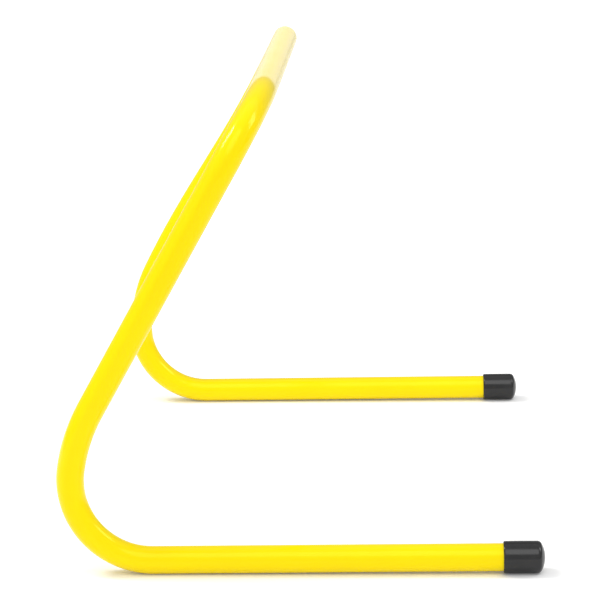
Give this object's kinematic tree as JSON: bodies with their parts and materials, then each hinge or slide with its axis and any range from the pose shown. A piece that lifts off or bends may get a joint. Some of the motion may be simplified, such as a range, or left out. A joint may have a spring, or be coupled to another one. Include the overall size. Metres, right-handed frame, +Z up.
{
  "type": "speed hurdle",
  "caption": "Low free-standing training hurdle: a bent plastic tube with leaning uprights, a rounded crossbar and flat feet whose cut ends wear soft push-on caps.",
  "frame": {"origin": "on the floor, under the middle of the hurdle's box", "axes": "+X along the crossbar to the right foot, +Y along the feet to their caps, +Z up"},
  "size_m": [0.4526, 0.3056, 0.305],
  "materials": {
    "tube_plastic": "semi-gloss extruded plastic, coloured through",
    "cap_vinyl": "satin soft vinyl"
  },
  "bodies": {
    "frame": {"frame_tube": "tube_plastic"},
    "left_cap": {"left_end_cap": "cap_vinyl"},
    "right_cap": {"right_end_cap": "cap_vinyl"}
  },
  "joints": [
    {"name": "left_cap_pull", "type": "slide", "parent": "frame", "child": "left_cap", "axis": [0, 1, 0.0061], "range_m": [0, 0.04]},
    {"name": "right_cap_pull", "type": "slide", "parent": "frame", "child": "right_cap", "axis": [0, 1, 0.0061], "range_m": [0, 0.04]}
  ]
}
